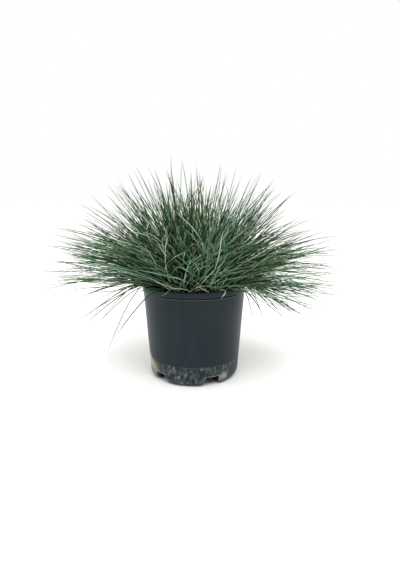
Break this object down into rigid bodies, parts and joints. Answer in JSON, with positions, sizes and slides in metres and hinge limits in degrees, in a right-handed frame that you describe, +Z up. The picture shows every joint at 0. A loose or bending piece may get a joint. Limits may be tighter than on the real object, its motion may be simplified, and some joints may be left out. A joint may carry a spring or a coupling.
{
  "type": "potted blue fescue clump",
  "caption": "Dense domed clump of needle-leaved blue-green grass in a round tapered nursery pot on notched feet, filled with compost.",
  "frame": {"origin": "on the ground, on the pot's axis", "axes": "+Z up, along the pot's axis; +X to the right as seen from the front; the front is towards -Y"},
  "size_m": [0.3853, 0.3551, 0.2751],
  "materials": {
    "pot_plastic": "satin",
    "compost": "matte",
    "foliage": "matte",
    "leaf": "satin",
    "dry_leaf": "matte"
  },
  "bodies": {
    "root": {"pot": "pot_plastic", "compost": "compost", "tuft_low_1": "foliage", "tuft_low_2": "foliage", "tuft_low_3": "foliage", "tuft_low_4": "foliage", "tuft_low_5": "foliage", "tuft_low_6": "foliage", "tuft_low_7": "foliage", "tuft_low_8": "foliage", "tuft_low_9": "foliage", "tuft_low_10": "foliage", "tuft_low_11": "foliage", "tuft_low_12": "foliage", "tuft_mid_1": "foliage", "tuft_mid_2": "foliage", "tuft_mid_3": "foliage", "tuft_mid_4": "foliage", "tuft_mid_5": "foliage", "tuft_mid_6": "foliage", "tuft_mid_7": "foliage", "tuft_mid_8": "foliage", "tuft_top_1": "foliage", "tuft_top_2": "foliage", "tuft_top_3": "foliage", "tuft_top_4": "foliage", "tuft_top_5": "foliage", "leaf_1": "leaf", "leaf_2": "leaf", "leaf_3": "leaf", "leaf_4": "leaf", "leaf_5": "leaf", "leaf_6": "leaf", "leaf_7": "leaf", "leaf_8": "leaf", "leaf_9": "leaf", "leaf_10": "leaf", "leaf_11": "leaf", "leaf_12": "leaf", "leaf_13": "leaf", "leaf_14": "leaf", "leaf_15": "leaf", "leaf_16": "leaf", "leaf_17": "leaf", "leaf_18": "leaf", "leaf_19": "leaf", "leaf_20": "leaf", "leaf_21": "leaf", "leaf_22": "leaf", "leaf_23": "leaf", "leaf_24": "leaf", "leaf_25": "leaf", "straw_1": "dry_leaf", "straw_2": "dry_leaf"}
  },
  "joints": []
}
